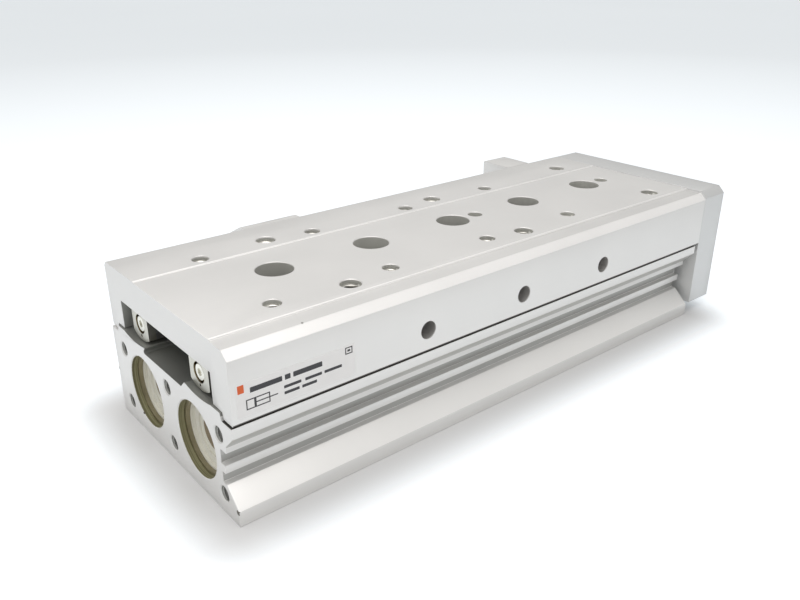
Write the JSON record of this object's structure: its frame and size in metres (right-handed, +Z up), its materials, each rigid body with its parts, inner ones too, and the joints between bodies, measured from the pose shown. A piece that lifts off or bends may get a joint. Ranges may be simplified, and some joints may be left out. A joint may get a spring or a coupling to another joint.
{
  "type": "pneumatic slide table",
  "caption": "Compact pneumatic slide table: a flat drilled table with an end plate glides on crossed rollers over an extruded twin cylinder body, with a side stroke adjuster.",
  "frame": {"origin": "centre of the body's bottom face", "axes": "+X along the stroke towards the end plate, +Z up through the table's top face, +Y towards the air port side"},
  "size_m": [0.2152, 0.0891, 0.05],
  "materials": {
    "anodised_aluminium": "satin clear anodised, long grain",
    "turned_aluminium": "fine turned",
    "ivory_resin": "moulded ivory resin",
    "black_rubber": "matte nitrile",
    "urethane": "amber brown urethane",
    "spring_steel": "phosphated spring steel",
    "hardened_steel": "ground",
    "roller_steel": "polished bearing steel",
    "screw_steel": "chromated steel",
    "zinc_steel": "zinc plated",
    "insert_steel": "stainless wire",
    "rod_chrome": "hard chrome",
    "cage_resin": "polyamide cage",
    "magnet": "plastic bonded magnet",
    "wear_resin": "filled bearing resin",
    "bushing_brass": "turned brass",
    "label_film": "white printed film"
  },
  "bodies": {
    "body": {"housing": "anodised_aluminium", "head_caps": "ivory_resin", "cap_o_rings": "black_rubber", "cap_retaining_rings": "spring_steel", "rear_bumpers": "urethane", "rod_glands": "turned_aluminium", "gland_o_rings": "black_rubber", "rod_seals": "black_rubber", "gland_retaining_rings": "spring_steel", "front_bumpers": "urethane", "retraction_bumpers": "black_rubber", "guide_block": "hardened_steel", "guide_block_screws": "screw_steel", "block_stop_screws": "screw_steel", "adjuster_holder": "anodised_aluminium", "adjuster_holder_screws": "screw_steel", "lock_nut": "zinc_steel"},
    "table": {"table": "anodised_aluminium", "end_plate": "anodised_aluminium", "end_plate_screws": "screw_steel", "near_rail": "hardened_steel", "far_rail": "hardened_steel", "rail_screws": "screw_steel", "rail_end_plates": "zinc_steel", "rail_end_screws": "screw_steel", "preload_screws": "screw_steel", "m5_inserts": "insert_steel", "m4_inserts": "insert_steel", "piston_rods": "rod_chrome", "pistons": "turned_aluminium", "piston_nuts": "zinc_steel", "piston_seals": "black_rubber", "piston_magnets": "magnet", "wear_rings": "wear_resin", "rod_bolts": "screw_steel", "rod_bushings": "bushing_brass", "stopper": "anodised_aluminium", "stopper_screws": "screw_steel", "label": "label_film"},
    "near_cage_set": {"near_cage": "cage_resin", "near_rollers": "roller_steel"},
    "far_cage_set": {"far_cage": "cage_resin", "far_rollers": "roller_steel"},
    "bumper": {"adjuster_bumper": "black_rubber"},
    "bolt": {"adjuster_bolt": "zinc_steel"}
  },
  "joints": [
    {"name": "table_slide", "type": "slide", "parent": "body", "child": "table", "axis": [1, 0, 0], "range_m": [0, 0.1]},
    {"name": "near_cage_slide", "type": "slide", "parent": "body", "child": "near_cage_set", "axis": [1, 0, 0], "range_m": [0, 0.05]},
    {"name": "far_cage_slide", "type": "slide", "parent": "body", "child": "far_cage_set", "axis": [1, 0, 0], "range_m": [0, 0.05]},
    {"name": "adjuster_feed", "type": "slide", "parent": "body", "child": "bumper", "axis": [1, 0, 0], "range_m": [0, 0.005]},
    {"name": "adjuster_turn", "type": "hinge", "parent": "bumper", "child": "bolt", "pos_m": [0.0718, 0.04475, 0.0384], "axis": [1, 0, 0], "range_deg": [0, 1440]}
  ],
  "couplings": [
    {"joint": "near_cage_slide", "follows": "table_slide", "ratio": 0.5},
    {"joint": "far_cage_slide", "follows": "table_slide", "ratio": 0.5},
    {"joint": "adjuster_turn", "follows": "adjuster_feed", "rad_per_m": 5026.5}
  ]
}
